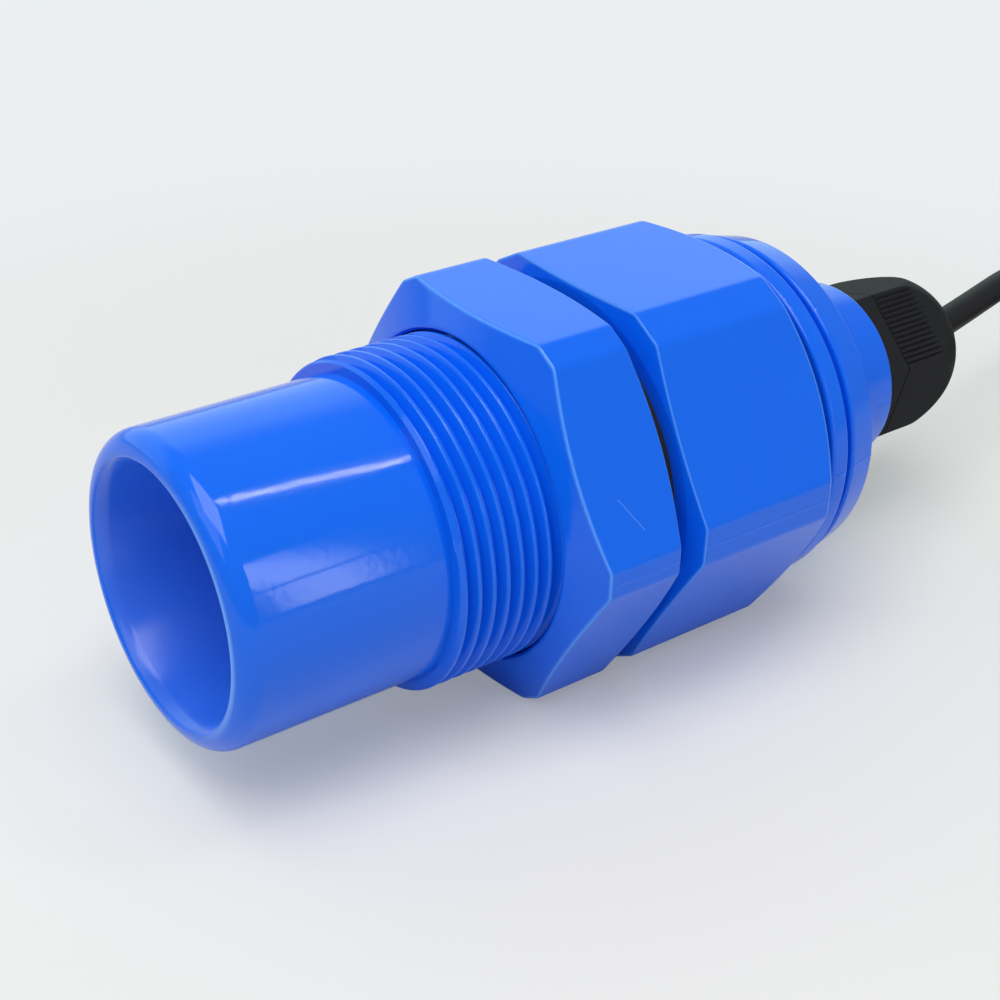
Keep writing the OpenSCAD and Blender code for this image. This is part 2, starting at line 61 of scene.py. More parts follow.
def at(station, radius, angle):
    """Point at a station, a radius and an angle that runs from the top towards -Y."""
    turn = math.radians(angle)
    return Vector((MOUTH_X + station * MM, -radius * MM * math.sin(turn),
                   AXIS_Z + radius * MM * math.cos(turn)))


def angle_of(point):
    """Angle of a point about the axis, from the top towards -Y, in degrees."""
    return math.degrees(math.atan2(-point.y, point.z - AXIS_Z))


def radius_of(point):
    """Distance of a point from the axis, in millimetres."""
    return math.hypot(point.y, point.z - AXIS_Z) / MM


def station_of(point):
    return (point.x - MOUTH_X) / MM


# Camera, at the viewpoint that was solved from the hexes and rings

CAMERA_PLACE = Vector((-0.15676, -0.17887, 0.15506))
CAMERA_TARGET = Vector((-0.01737, 0.0, 0.02488))
CAMERA_ROLL = math.radians(2.022)
CAMERA_LENS = 64.668
FILM_WIDTH = 36.0


def make_camera():
    data = bpy.data.cameras.new("photo_camera")
    data.sensor_width = FILM_WIDTH
    data.lens = CAMERA_LENS
    data.clip_start = 0.01
    camera = bpy.data.objects.new("photo_camera", data)
    bpy.context.scene.collection.objects.link(camera)
    back = (CAMERA_PLACE - CAMERA_TARGET).normalized()
    right = Vector((0, 0, 1)).cross(back).normalized()
    up = back.cross(right)
    facing = Matrix((right, up, back)).transposed().to_4x4() @ Matrix.Rotation(CAMERA_ROLL, 4, "Z")
    camera.matrix_world = Matrix.Translation(CAMERA_PLACE) @ facing
    bpy.context.scene.camera = camera


make_camera()


# Materials

def linear(code):
    """Linear colour of an sRGB hex value."""
    parts = [int(code[i:i + 2], 16) / 255 for i in (1, 3, 5)]
    return [c / 12.92 if c <= 0.04045 else ((c + 0.055) / 1.055) ** 2.4 for c in parts] + [1.0]


def add(tree, kind, inputs=None, **settings):
    """Adds a node with its settings, and sets or links its inputs."""
    node = tree.nodes.new(kind)
    for name, value in settings.items():
        setattr(node, name, value)
    for name, value in (inputs or {}).items():
        if isinstance(value, bpy.types.NodeSocket):
            tree.links.new(value, node.inputs[name])
        else:
            node.inputs[name].default_value = value
    return node


def per_metre(size_mm):
    """Noise scale whose features are about this many millimetres across."""
    return 1 / (size_mm * MM)


# Mesh attribute that says how far a place is painted paler: rubbing with a painted highlight on the hexes'
# edges, a painted highlight on the lip
RUB_AND_HIGHLIGHT = "rubbed_and_highlit_edge"
# Width of the patches between which a moulding's colour drifts
DRIFT_MM = 9


def moulded(name, colours, roughness, grain_mm, grain_depth_mm, waves=(), edge=None, **surface):
    """Moulded surface: a slow drift between two close colours, and a fine grain that also
    varies the gloss. Shallow (size, depth) waves bend the reflections, as sink in a moulding does.
    edge is the paler colour of its rubbed edges, which also stands for a painted highlight."""
    material = bpy.data.materials.new(name)
    material.use_nodes = True
    tree = material.node_tree
    shader = tree.nodes["Principled BSDF"]
    place = add(tree, "ShaderNodeTexCoord").outputs["Object"]
    drift = add(tree, "ShaderNodeTexNoise", {"Vector": place, "Scale": per_metre(DRIFT_MM), "Detail": 3.0})
    tint = add(tree, "ShaderNodeMixRGB", {"Fac": drift.outputs["Fac"], "Color1": linear(colours[0]),
                                          "Color2": linear(colours[1])})
    colour = tint.outputs["Color"]
    if edge:
        rub_and_highlight = add(tree, "ShaderNodeAttribute", attribute_name=RUB_AND_HIGHLIGHT).outputs["Fac"]
        colour = add(tree, "ShaderNodeMixRGB", {"Fac": rub_and_highlight, "Color1": colour,
                                                "Color2": linear(edge)}).outputs["Color"]
    tree.links.new(colour, shader.inputs["Base Color"])
    grain = add(tree, "ShaderNodeTexNoise", {"Vector": place, "Scale": per_metre(grain_mm), "Detail": 2.0})
    gloss = add(tree, "ShaderNodeMapRange", {"Value": grain.outputs["Fac"], "To Min": roughness[0],
                                             "To Max": roughness[1]})
    tree.links.new(gloss.outputs["Result"], shader.inputs["Roughness"])
    bump = add(tree, "ShaderNodeBump", {"Height": grain.outputs["Fac"], "Distance": grain_depth_mm * MM,
                                        "Strength": 1.0})
    for size_mm, depth_mm in waves:
        wave = add(tree, "ShaderNodeTexNoise", {"Vector": place, "Scale": per_metre(size_mm),
                                                "Detail": 1.0})
        bump = add(tree, "ShaderNodeBump", {"Height": wave.outputs["Fac"], "Strength": 1.0,
                                            "Distance": depth_mm * MM, "Normal": bump.outputs["Normal"]})
    tree.links.new(bump.outputs["Normal"], shader.inputs["Normal"])
    for socket, value in surface.items():
        shader.inputs[socket.replace("_", " ")].default_value = value
    return material


# A scratch: its colour and cover, and how far from its middle line it is full and has faded out
SCRATCH_TONE, SCRATCH_COVER = "#8fb8f5", 0.3
SCRATCH_FULL_MM, SCRATCH_OUT_MM = 0.02, 0.11


def scratch(material, start, end):
    """Adds a fine pale scratch between two points of a piece."""
    tree = material.node_tree
    shader = tree.nodes["Principled BSDF"]
    line = end - start
    place = add(tree, "ShaderNodeTexCoord").outputs["Object"]
    offset = add(tree, "ShaderNodeVectorMath", {0: place, 1: start}, operation="SUBTRACT").outputs["Vector"]
    along = add(tree, "ShaderNodeVectorMath", {0: offset, 1: line / line.length_squared},
                operation="DOT_PRODUCT")
    held = add(tree, "ShaderNodeClamp", {"Value": along.outputs["Value"]})
    nearest = add(tree, "ShaderNodeVectorMath", {0: line, "Scale": held.outputs["Result"]},
                  operation="SCALE")
    gap = add(tree, "ShaderNodeVectorMath", {0: offset, 1: nearest.outputs["Vector"]}, operation="DISTANCE")
    mark = add(tree, "ShaderNodeMapRange", {"Value": gap.outputs["Value"], "From Min": SCRATCH_FULL_MM * MM,
                                            "From Max": SCRATCH_OUT_MM * MM, "To Min": SCRATCH_COVER,
                                            "To Max": 0.0})
    worn = add(tree, "ShaderNodeMixRGB", {"Fac": mark.outputs["Result"], "Color2": linear(SCRATCH_TONE),
                                          "Color1": shader.inputs["Base Color"].links[0].from_socket})
    tree.links.new(worn.outputs["Color"], shader.inputs["Base Color"])


# Real grains are under 0.1 mm and too fine to show, so each is drawn as coarse as it needs to be

# ABS, moulded in a polished tool: an even deep blue with a wet gloss
ABS_SKIN = {"colours": ("#0764ea", "#0968ee"), "roughness": (0.07, 0.12), "grain_mm": 0.6,
            "grain_depth_mm": 0.0006, "waves": ((16, 0.03), (1.1, 0.009)), "Specular_IOR_Level": 0.34}
blue_abs = moulded("moulded_blue_abs", **ABS_SKIN)
# The hexes' edges are rubbed and carry a painted highlight, and the near side of the lip carries a painted
# highlight: thin paler lines
rubbed_and_highlit_abs = moulded("edge_rubbed_and_highlit_blue_abs", edge="#58a0fb", **ABS_SKIN)
# The nut's near flat has one scratch, with its ends as (station, radius, angle): a thin pale hair
SCRATCH_ENDS = ((53.8, 28.61, 69.7), (56.7, 29.86, 79.2))
scratched_abs = rubbed_and_highlit_abs.copy()
scratched_abs.name = "scratched_blue_abs"
scratch(scratched_abs, *[at(*end) for end in SCRATCH_ENDS])
# The horn's inside comes from a spark-eroded core: a fine speckle that scatters the light
eroded_abs = moulded("spark_eroded_blue_abs", ("#2c69e6", "#3370ea"), (0.16, 0.26), 0.45, 0.01, IOR=1.5)
# Polyamide: charcoal with a dull skin
nylon = moulded("moulded_polyamide", ("#232427", "#2a2b2d"), (0.42, 0.56), 0.4, 0.008,
                Specular_IOR_Level=0.02)
# PVC jacket: a little smoother than the gland, drawn through a die
jacket = moulded("pvc_jacket", ("#212224", "#28292b"), (0.4, 0.52), 0.6, 0.006, Specular_IOR_Level=0.06)
# NBR rubber: nearly black and dull
rubber = moulded("nitrile_rubber", ("#15161a", "#1b1c20"), (0.6, 0.75), 0.5, 0.01, IOR=1.52)
# Epoxy filled with glass bubbles: pale and chalky
epoxy = moulded("bubble_filled_epoxy", ("#b9b3a2", "#c8c2b2"), (0.55, 0.7), 0.3, 0.01, IOR=1.5)
# Fired silver on ceramic: warm grey and faintly metallic
ceramic = moulded("silvered_ceramic", ("#a69c88", "#b6ad9a"), (0.35, 0.5), 0.3, 0.004, Metallic=0.6)
# Glass-fibre board under a mask: even dark green, half glossy
board = moulded("masked_glass_fibre_board", ("#155c31", "#1d7040"), (0.3, 0.42), 0.7, 0.01, IOR=1.5)
# Black epoxy of the packages: charcoal and dull
package = moulded("black_epoxy_package", ("#17181b", "#202125"), (0.5, 0.65), 0.4, 0.01, IOR=1.5)
# Enamelled copper: warm brown metal with a soft shine
copper = moulded("enamelled_copper", ("#a9612c", "#c07a40"), (0.25, 0.38), 0.4, 0.006, Metallic=1.0)
# PVC of the cores: brick red with a satin skin
insulation = moulded("pvc_core_insulation", ("#a2331f", "#b03c27"), (0.38, 0.5), 0.5, 0.004, IOR=1.52)
# Natural nylon of the ties: milky
tie_nylon = moulded("natural_nylon", ("#dcdbd4", "#e6e5df"), (0.4, 0.5), 0.5, 0.004, IOR=1.53)


# Mesh helpers

# Points closer than this, in metres, are one
WELD = 1e-7
# Edges that turn by more than this stay sharp
SHARP = math.radians(35)


def finish_piece(name, bm, materials, body, slot, *nodes):
    """Makes a piece of a bmesh, with outward faces and smooth shading between its sharp edges."""
    bmesh.ops.remove_doubles(bm, verts=bm.verts, dist=WELD)
    bmesh.ops.recalc_face_normals(bm, faces=bm.faces)
    for face in bm.faces:
        face.smooth = True
    for edge in bm.edges:
        edge.smooth = len(edge.link_faces) == 2 and edge.calc_face_angle() < SHARP
    mesh = bpy.data.meshes.new(name)
    bm.to_mesh(mesh)
    bm.free()
    piece = bpy.data.objects.new(name, mesh)
    bpy.context.scene.collection.objects.link(piece)
    for material in materials:
        mesh.materials.append(material)
    normals = piece.modifiers.new("even_normals", "WEIGHTED_NORMAL")
    normals.keep_sharp = True
    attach(piece, body)
    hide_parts(*nodes)
    return piece


def soft_min(a, b, blend):
    """Smaller of two radii, with a rounded change-over that is this wide."""
    share = max(blend - abs(a - b), 0) / blend
    return min(a, b) - share * share * blend / 4


def ring_angles(count, seams=()):
    """Even angles in degrees, with close ones at each mould seam."""
    even = [360 * i / count for i in range(count)]
    close = [seam + step * SEAM_DEG for seam in seams for step in range(-3, 4)]
    return sorted({round(a % 360, 4) for a in even + close})


def wrapped_grid(bm, columns, rows, place):
    """Grid of faces whose corner in column i and row j goes to place(i, j).
    Corners that meet are joined."""
    verts = bmesh.ops.create_grid(bm, x_segments=columns, y_segments=rows, size=0.5)["verts"]
    for vert in verts:
        vert.co = place(round((vert.co.x + 0.5) * columns), round((vert.co.y + 0.5) * rows))
    bmesh.ops.remove_doubles(bm, verts=verts, dist=WELD)


def turned(bm, angles, stations, radius_at):
    """Closed skin: a ring of points at each (station, radius), joined end to end.
    radius_at(station, radius, angle) gives the radius that a point really takes."""
    def place(column, row):
        angle = angles[column % len(angles)]
        station, radius = stations[row % len(stations)]
        return at(station, radius_at(station, radius, angle), angle)

    wrapped_grid(bm, len(angles), len(stations), place)


def lathe(bm, points, steps):
    """Closed skin of revolution from (station, radius) points."""
    verts = [bm.verts.new(at(station, radius, 0)) for station, radius in points]
    edges = [bm.edges.new((a, b)) for a, b in zip(verts, verts[1:] + verts[:1])]
    bmesh.ops.spin(bm, geom=verts + edges, cent=at(0, 0, 0), axis=(1, 0, 0), dvec=(0, 0, 0),
                   angle=2 * math.pi, steps=steps, use_merge=True)


def arc(station, radius, size, start, end, steps):
    """Points of an arc about (station, radius); 0 degrees points outwards, 90 along the axis."""
    turns = [math.radians(start + (end - start) * i / steps) for i in range(steps + 1)]
    return [(station + size * math.sin(t), radius + size * math.cos(t)) for t in turns]


# Mould seams: fine ridges left where the halves of a tool meet

SEAM_DEG = 0.28
SEAM_HEIGHT = 0.08
BODY_SEAMS = (90, 270)
CAP_SEAMS = (88.5, 268.5)


def seam_ridge(angle, seams):
    """Height of the mould seam at an angle, in millimetres."""
    off = min(abs((angle - seam + 180) % 360 - 180) for seam in seams)
    return SEAM_HEIGHT * math.exp(-(off / SEAM_DEG) ** 2)


# Cable, on the route of its solids, with its coil past the picture's edge

CABLE_D = 5.0
ROUTE = [(78, 1.2, 28.2), (84, 2.7, 28.2), (90, 4.2, 28.2), (97, 6, 28.2), (104, 7.9, 28),
         (112, 10.3, 26.8), (121, 13.2, 23.2), (131, 16.5, 17), (141, 19.6, 10.4), (149, 21.5, 6),
         (154, 22.2, 4.2), (158, 22.5, 3.5)]
COIL_MID_R = 29.9
COIL_LIFT = 1.0
LEAD_IN = 20.0
TAIL_DEG = 55
# Places in the coil, as (column, row), and the share of a turn that a change of place takes
COIL_PLACES = [(1, 0), (1, 1), (1, 2), (0, 2), (0, 1), (0, 0), (-1, 0), (-1, 1), (-1, 2), (-1, 3),
               (0, 3), (1, 3)]
CHANGE_SHARE = 0.2
POINTS_A_TURN = 40
SPLINE_STEPS = 4


def smooth_route(points, steps):
    """Points of a smooth curve through the given ones."""
    padded = [points[0]] + points + [points[-1]]
    found = []
    for a, b, c, d in zip(padded, padded[1:], padded[2:], padded[3:]):
        for k in range(steps):
            t = k / steps
            found.append(0.5 * (2 * b + (c - a) * t + (2 * a - 5 * b + 4 * c - d) * t ** 2
                                + (3 * b - a - 3 * c + d) * t ** 3))
    return found + [points[-1]]


def coil_points(centre):
    """Turns that lie beside and on each other. A change from one kind of step to the other
    comes early by its own length, so that a turn never runs into the one before."""
    starts = [1 - CHANGE_SHARE]
    kinds = [a[0] != b[0] for a, b in zip(COIL_PLACES, COIL_PLACES[1:])]
    for before, after in zip(kinds, kinds[1:]):
        starts.append(starts[-1] + 1 - CHANGE_SHARE * (before != after))
    turns = starts[-1] + CHANGE_SHARE + TAIL_DEG / 360
    found = []
    count = round(turns * POINTS_A_TURN)
    for i in range(1, count + 1):
        turn = turns * i / count
        column, row = COIL_PLACES[0]
        for start, (a, b) in zip(starts, zip(COIL_PLACES, COIL_PLACES[1:])):
            t = min(max((turn - start) / CHANGE_SHARE, 0), 1)
            ease = t * t * (3 - 2 * t)
            column += (b[0] - a[0]) * ease
            row += (b[1] - a[1]) * ease
        radius = COIL_MID_R + column * CABLE_D
        angle = math.radians(90 - 360 * turn)
        found.append(centre + Vector((radius * math.cos(angle), radius * math.sin(angle),
                                      COIL_LIFT + (row + 0.5) * CABLE_D)))
    return found


def make_cable():
    exit_point = Vector((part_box("gland_nut")[1].x / MM, 0, AXIS_Z / MM))
    route = smooth_route([exit_point] + [Vector(p) for p in ROUTE], SPLINE_STEPS)
    end = Vector(ROUTE[-1])
    centre = Vector((end.x + LEAD_IN, end.y - COIL_MID_R - CABLE_D, 0))
    straight = [end + Vector((LEAD_IN * share, 0, 0)) for share in (0.33, 0.67, 1)]
    points = [p * MM for p in route + straight + coil_points(centre)]
    curve = bpy.data.curves.new("cable", "CURVE")
    curve.dimensions = "3D"
    curve.bevel_depth = CABLE_D / 2 * MM
    curve.bevel_resolution = 5
    curve.use_fill_caps = True
    spline = curve.splines.new("POLY")
    spline.points.add(len(points) - 1)
    for place, point in zip(spline.points, points):
        place.co = (*point, 1)
    piece = bpy.data.objects.new("cable_line", curve)
    bpy.context.scene.collection.objects.link(piece)
    curve.materials.append(jacket)
    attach(piece, "sensor")
    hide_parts("cable", "cable_coil")


make_cable()


# Housing: horn, thread and hex body

HORN_R = 21.9
LIP_ROUND = 3.0
LIP_CREST_R = HORN_R - LIP_ROUND
MOUTH_ROUND = 0.5
# The stretch of the lip with a painted highlight: its middle and half its reach in degrees, and its depth
# from the crest
LIP_HIGHLIGHT_MID, LIP_HIGHLIGHT_REACH = 78, 72
LIP_HIGHLIGHT_DEPTH = 0.12
FLARE_ROUND = 4.0
FLARE_DEG = 45
FLARE_STEPS, CREST_STEPS, LIP_STEPS = 12, 6, 16
HORN_STEPS = 192
THROAT_R = 11.0
FUNNEL_DEPTH = 28.9
THREAD_R = 23.9
THREAD_PITCH = 2.309
THREAD_DEPTH = 1.48
THREAD_CREST = 0.5
THREAD_FLANK_DEG = 27.5
THREAD_EASE = 0.12
THREAD_LEAD = 0.6
THREAD_STEPS = 144
# Turns that are wound past each end and then cut off
SPARE_TURNS = 2
# How far the thread runs into the hex, and its skirt into the sleeve
THREAD_OVERLAP, THREAD_SUNK = 0.4, 1.0
HEX_AT = span("flange_gasket")[1]
THREAD_AT = span("matching_layer")[0]
# The crest nearest the mouth, as the photo shows it, behind the thread's start and at this angle
FIRST_CREST, FIRST_CREST_ANGLE = 0.55, 63
HEX_END = span("housing")[1]
HEX_AF = 2 * AXIS_Z / MM
BODY_CORNER_D = 62.0
BODY_FRONT_R, BODY_FRONT_DEG = 27.4, 12
BODY_REAR_R, BODY_REAR_DEG = 27.1, 37
CAP_BORE_R = 24.0
LEDGE_AT = span("main_board")[0]
BAY_R = 19.5
POCKET_R = 14.0
CUP_R = 16.5
CUP_END = span("retaining_ring")[1]
SPACE_AT = span("temperature_probe")[0]
HEX_EDGE = 0.28
CONE_EDGE = 0.45
CONE_STEPS = 30
# How far the cones are drawn past the corners
CONE_PAST = 1.0
FLAT_ROWS = 4
RING_COUNT = 540
# Allowance, in millimetres, when places are compared
SLACK = 0.01


def hex_radius(angle, flats, corners):
    """Radius of a hexagon with flats at the top and bottom and with truncated corners."""
    to_flat = math.radians((angle + 30) % 60 - 30)
    to_corner = math.radians(angle % 60 - 30)
    return soft_min(flats / 2 / math.cos(to_flat), corners / 2 / math.cos(to_corner), HEX_EDGE)


def cone(face_station, face_r, wide_r, degrees, inward):
    """(station, radius) points up a turned end cone, from the face to past the corners."""
    slope = math.tan(math.radians(degrees)) * inward
    radii = [face_r + (wide_r - face_r) * i / CONE_STEPS for i in range(CONE_STEPS + 1)]
    return [(face_station + (r - face_r) * slope, r) for r in radii]


def hex_block(bm, corner_d, front, rear, inside):
    """Hex with a turned cone at each end, given as (station, radius of the face, degrees).
    inside lists the rest of its section. Its edges are marked as rubbed and painted paler, partly as a
    painted highlight."""
    wide = corner_d / 2 + CONE_PAST
    front_cone = cone(*front[:2], wide, front[2], 1)
    rear_cone = cone(*rear[:2], wide, rear[2], -1)[::-1]
    start, end = front_cone[-1][0], rear_cone[0][0]
    flats = [(start + (end - start) * i / FLAT_ROWS, wide) for i in range(1, FLAT_ROWS)]

    def side(angle):
        return hex_radius(angle, HEX_AF, corner_d - 2 * SEAM_HEIGHT)

    def radius_at(station, radius, angle):
        return soft_min(radius, side(angle) + seam_ridge(angle, BODY_SEAMS), CONE_EDGE)

    # How far a place is painted paler for rubbing and a painted highlight: most where a cone meets the
    # flats
    def rub_and_highlight_at(station, angle):
        cone_r = min(face_r + abs(station - face) / math.tan(math.radians(degrees))
                     for face, face_r, degrees in (front, rear))
        return max(1 - abs(cone_r - side(angle)) / CONE_EDGE, 0)

    older = set(bm.verts)
    turned(bm, ring_angles(RING_COUNT, BODY_SEAMS), front_cone + flats + rear_cone + inside, radius_at)
    rub_and_highlight = bm.verts.layers.float[RUB_AND_HIGHLIGHT]
    for vert in bm.verts:
        if vert not in older:
            vert[rub_and_highlight] = rub_and_highlight_at(station_of(vert.co), angle_of(vert.co))


def horn_lip():
    """Section of the lip: the funnel's flare, the small round of the crest and the outer round."""
    turn = math.radians(FLARE_DEG - 180)
    flare_at = MOUTH_ROUND + (MOUTH_ROUND - FLARE_ROUND) * math.sin(turn)
    flare_r = LIP_CREST_R + (MOUTH_ROUND - FLARE_ROUND) * math.cos(turn)
    fall, run = flare_r - THROAT_R, FUNNEL_DEPTH - flare_at
    funnel_deg = math.degrees(math.atan2(fall, run) - math.asin(FLARE_ROUND / math.hypot(fall, run)))
    lip = arc(flare_at, flare_r, FLARE_ROUND, funnel_deg - 180, FLARE_DEG - 180, FLARE_STEPS)[:-1]
    lip += arc(MOUTH_ROUND, LIP_CREST_R, MOUTH_ROUND, FLARE_DEG - 180, -90, CREST_STEPS)[:-1]
    return lip + arc(LIP_ROUND, LIP_CREST_R, LIP_ROUND, -90, 0, LIP_STEPS)


def horn_and_neck(bm):
    """Horn with its lip and funnel, and the tube behind it that carries the thread."""
    lip = horn_lip()
    sleeve = [(THREAD_AT * share, HORN_R) for share in (0.3, 0.6)] + [(HEX_AT, HORN_R)]
    inside = [(HEX_AT, BAY_R), (SPACE_AT, BAY_R), (SPACE_AT, CUP_R), (CUP_END, CUP_R), (CUP_END, POCKET_R),
              (THREAD_AT, POCKET_R), (THREAD_AT, THROAT_R), (FUNNEL_DEPTH, THROAT_R)]
    mouth_at, mouth_r = lip[0]
    funnel = [(FUNNEL_DEPTH + (mouth_at - FUNNEL_DEPTH) * share, THROAT_R + (mouth_r - THROAT_R) * share)
              for share in (0.25, 0.5, 0.75)]
    lathe(bm, lip + sleeve + inside + funnel, HORN_STEPS)


def thread_profile():
    """One pitch of the pipe thread, with rounded crest and root, as (along, radius) points."""
    flank = THREAD_DEPTH * math.tan(math.radians(THREAD_FLANK_DEG))
    root = THREAD_PITCH - THREAD_CREST - 2 * flank
    ease = THREAD_EASE
    points = [(0, 0), (root / 2, 0), (root / 2 + flank * ease, ease / 2),
              (root / 2 + flank * (1 - ease), 1 - ease / 1.5), (root / 2 + flank, 1 - ease / 4),
              (root / 2 + flank + ease, 1), (THREAD_PITCH / 2, 1)]
    points += [(THREAD_PITCH - along, height) for along, height in points[-2::-1]]
    return [(along, THREAD_R - THREAD_DEPTH * (1 - height)) for along, height in points]


def pipe_thread():
    """Right-hand thread: one pitch of the profile, wound along the axis and cut to length."""
    turns = math.ceil((HEX_AT - THREAD_AT) / THREAD_PITCH) + 2 * SPARE_TURNS
    crest_turns = SPARE_TURNS + 0.5 + FIRST_CREST_ANGLE / 360
    begin = THREAD_AT + FIRST_CREST - THREAD_PITCH * crest_turns
    profile = thread_profile()

    def place(column, row):
        along, radius = profile[row]
        turn = column / THREAD_STEPS
        return at(begin + along + THREAD_PITCH * turn, radius, 360 * turn)

    bm = bmesh.new()
    wrapped_grid(bm, THREAD_STEPS * turns, len(profile) - 1, place)
    for station, side in ((THREAD_AT, -1), (HEX_AT + THREAD_OVERLAP, 1)):
        everything = bm.verts[:] + bm.edges[:] + bm.faces[:]
        bmesh.ops.bisect_plane(bm, geom=everything, plane_co=at(station, 0, 0), plane_no=(side, 0, 0),
                               clear_outer=True)
    for vert in bm.verts:
        station = station_of(vert.co)
        limit = THREAD_R - THREAD_LEAD + (station - THREAD_AT)
        vert.co = at(station, min(radius_of(vert.co), limit), angle_of(vert.co))
    rim = [edge for edge in bm.edges if edge.is_boundary]
    made = bmesh.ops.extrude_edge_only(bm, edges=rim)["geom"]
    inner = {item for item in made if isinstance(item, bmesh.types.BMVert)}
    for vert in inner:
        vert.co = at(station_of(vert.co), HORN_R - THREAD_SUNK, angle_of(vert.co))
    bmesh.ops.bridge_loops(bm, edges=[edge for edge in bm.edges if edge.is_boundary])
    mesh = bpy.data.meshes.new("thread")
    bm.to_mesh(mesh)
    bm.free()
    return mesh


def lip_painted_highlight(station, angle):
    """How strong the painted highlight on the lip is: most at its crest, in the middle of its near side."""
    off_middle = (angle - LIP_HIGHLIGHT_MID) / LIP_HIGHLIGHT_REACH
    return max(1 - station / LIP_HIGHLIGHT_DEPTH, 0) * max(1 - off_middle * off_middle, 0)


def make_housing():
    bm = bmesh.new()
    rub_and_highlight = bm.verts.layers.float.new(RUB_AND_HIGHLIGHT)
    horn_and_neck(bm)
    # The funnel takes the second material, the spark-eroded one
    for face in bm.faces:
        centre = face.calc_center_median()
        station, radius = station_of(centre), radius_of(centre)
        if radius < LIP_CREST_R and MOUTH_ROUND / 2 < station < THREAD_AT - SLACK:
            face.material_index = 1
    for vert in bm.verts:
        # The near side of the lip's crest is painted paler, as a painted highlight
        if radius_of(vert.co) > LIP_CREST_R - SLACK:
            vert[rub_and_highlight] = lip_painted_highlight(station_of(vert.co), angle_of(vert.co))
    hex_block(bm, BODY_CORNER_D, (HEX_AT, BODY_FRONT_R, BODY_FRONT_DEG),
              (HEX_END, BODY_REAR_R, BODY_REAR_DEG),
              [(HEX_END, CAP_BORE_R), (LEDGE_AT, CAP_BORE_R), (LEDGE_AT, BAY_R), (HEX_AT, BAY_R)])
    thread = pipe_thread()
    bm.from_mesh(thread)
    bpy.data.meshes.remove(thread)
    finish_piece("horn_housing", bm, (rubbed_and_highlit_abs, eroded_abs), "sensor", "blue_abs", "housing")


make_housing()


# Mounting nut

NUT_AT, NUT_END = span("mounting_nut")
NUT_CORNER_D = 63.0
NUT_FRONT_R, NUT_REAR_R, NUT_CONE_DEG = 24.7, 26.4, 22
NUT_BORE_R = 24.1
NUT_SINK = 0.4


def make_nut():
    bm = bmesh.new()
    bm.verts.layers.float.new(RUB_AND_HIGHLIGHT)
    hex_block(bm, NUT_CORNER_D, (NUT_AT, NUT_FRONT_R, NUT_CONE_DEG), (NUT_END, NUT_REAR_R, NUT_CONE_DEG),
              [(NUT_END, NUT_BORE_R + NUT_SINK), (NUT_END - NUT_SINK, NUT_BORE_R),
               (NUT_AT + NUT_SINK, NUT_BORE_R), (NUT_AT, NUT_BORE_R + NUT_SINK)])
    finish_piece("lock_nut", bm, (scratched_abs,), "nut", "blue_abs", "mounting_nut")


make_nut()


# End cap: skirt, collar, groove, ring and tapered boss

CAP_AT, CAP_END = span("end_cap")
COLLAR_AT, COLLAR_R, COLLAR_LEN = HEX_END + 1.1, 27.4, 3.3
GROOVE_LEN, GROOVE_R = 1.6, 25.2
RING_FRONT_R, RING_REAR_R, RING_LEN = 26.6, 25.7, 5.5
BOSS_BASE_R, BOSS_END_R = 16.5, 14.7
SKIRT_R, SKIRT_INNER_R = 23.85, 21.25
GLAND_HOLE_R, GLAND_HOLE_LEN = 9.4, 10
CAP_CHAMBER_R, CAP_TAPER = 12.5, 5
CAP_ROUND = 0.6
ROUND_STEPS = 5
BOSS_FILLET = 0.6
CAP_RING_COUNT = 240


def make_end_cap():
    groove_at = COLLAR_AT + COLLAR_LEN
    ring_at = groove_at + GROOVE_LEN
    ring_end = ring_at + RING_LEN
    outline = [(CAP_AT, SKIRT_R), (COLLAR_AT, SKIRT_R)]
    outline += arc(COLLAR_AT + CAP_ROUND, COLLAR_R - CAP_ROUND, CAP_ROUND, -90, 0, ROUND_STEPS)
    outline += arc(groove_at - CAP_ROUND, COLLAR_R - CAP_ROUND, CAP_ROUND, 0, 90, ROUND_STEPS)
    outline += [(groove_at, GROOVE_R), (ring_at, GROOVE_R)]
    outline += arc(ring_at + CAP_ROUND, RING_FRONT_R - CAP_ROUND, CAP_ROUND, -90, 0, ROUND_STEPS)
    outline += arc(ring_end - CAP_ROUND, RING_REAR_R - CAP_ROUND, CAP_ROUND, 0, 90, ROUND_STEPS)
    outline += [(ring_end + BOSS_FILLET * along, BOSS_BASE_R + BOSS_FILLET * out)
                for along, out in ((0, 1), (1 / 3, 1 / 3), (1, 0))]
    outline += arc(CAP_END - CAP_ROUND, BOSS_END_R - CAP_ROUND, CAP_ROUND, 0, 90, ROUND_STEPS)
    hole_at = CAP_END - GLAND_HOLE_LEN
    outline += [(CAP_END, GLAND_HOLE_R), (hole_at, GLAND_HOLE_R), (hole_at, CAP_CHAMBER_R),
                (ring_end, CAP_CHAMBER_R), (ring_end - CAP_TAPER, SKIRT_INNER_R), (CAP_AT, SKIRT_INNER_R)]

    def radius_at(station, radius, angle):
        return radius + (seam_ridge(angle, CAP_SEAMS) if radius > GROOVE_R or station > ring_end else 0)

    bm = bmesh.new()
    turned(bm, ring_angles(CAP_RING_COUNT, CAP_SEAMS), outline, radius_at)
    finish_piece("rear_cap", bm, (blue_abs,), "sensor", "blue_abs", "end_cap")


make_end_cap()


# Cable gland: its dome nut is a hex that is rounded to the cable, with grooves on every second face

